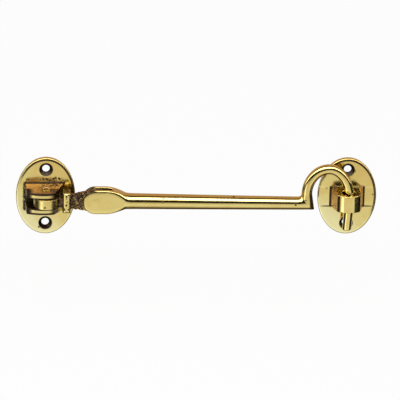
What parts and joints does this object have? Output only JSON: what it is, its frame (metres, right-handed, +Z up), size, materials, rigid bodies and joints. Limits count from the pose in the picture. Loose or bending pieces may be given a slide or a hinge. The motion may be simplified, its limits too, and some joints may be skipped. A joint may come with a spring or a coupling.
{
  "type": "hook and eye latch",
  "caption": "Brass cabin hook: a tapered arm with a bent hook swings and lifts on a knuckle riveted to an oval back plate, and its tip drops into the eye on a matching plate.",
  "frame": {"origin": "centre of the hook plate's mounting face", "axes": "+X along the arm towards the eye, +Y into the wall, +Z up as fitted on a wall"},
  "size_m": [0.1822, 0.0169, 0.0404],
  "materials": {
    "polished_brass": "polished",
    "cast_brass": "as cast, dulled",
    "pin_brass": "ground"
  },
  "bodies": {
    "hook_plate": {"hook_backplate": "polished_brass", "upright_pin": "pin_brass"},
    "knuckle": {"knuckle": "cast_brass"},
    "arm": {"hook_arm": "polished_brass", "cross_pin": "pin_brass"},
    "eye": {"eye_backplate": "polished_brass"}
  },
  "joints": [
    {"name": "knuckle_swing", "type": "hinge", "parent": "hook_plate", "child": "knuckle", "pos_m": [0, -0.0104, 0], "axis": [0, 0, -1], "range_deg": [0, 130]},
    {"name": "hook_lift", "type": "hinge", "parent": "knuckle", "child": "arm", "pos_m": [0.0246, -0.0104, 0.0006], "axis": [0, -1, 0], "range_deg": [0, 110]},
    {"name": "eye_release", "type": "slide", "parent": "arm", "child": "eye", "axis": [0, 0, -1], "range_m": [0, 0.026]}
  ]
}
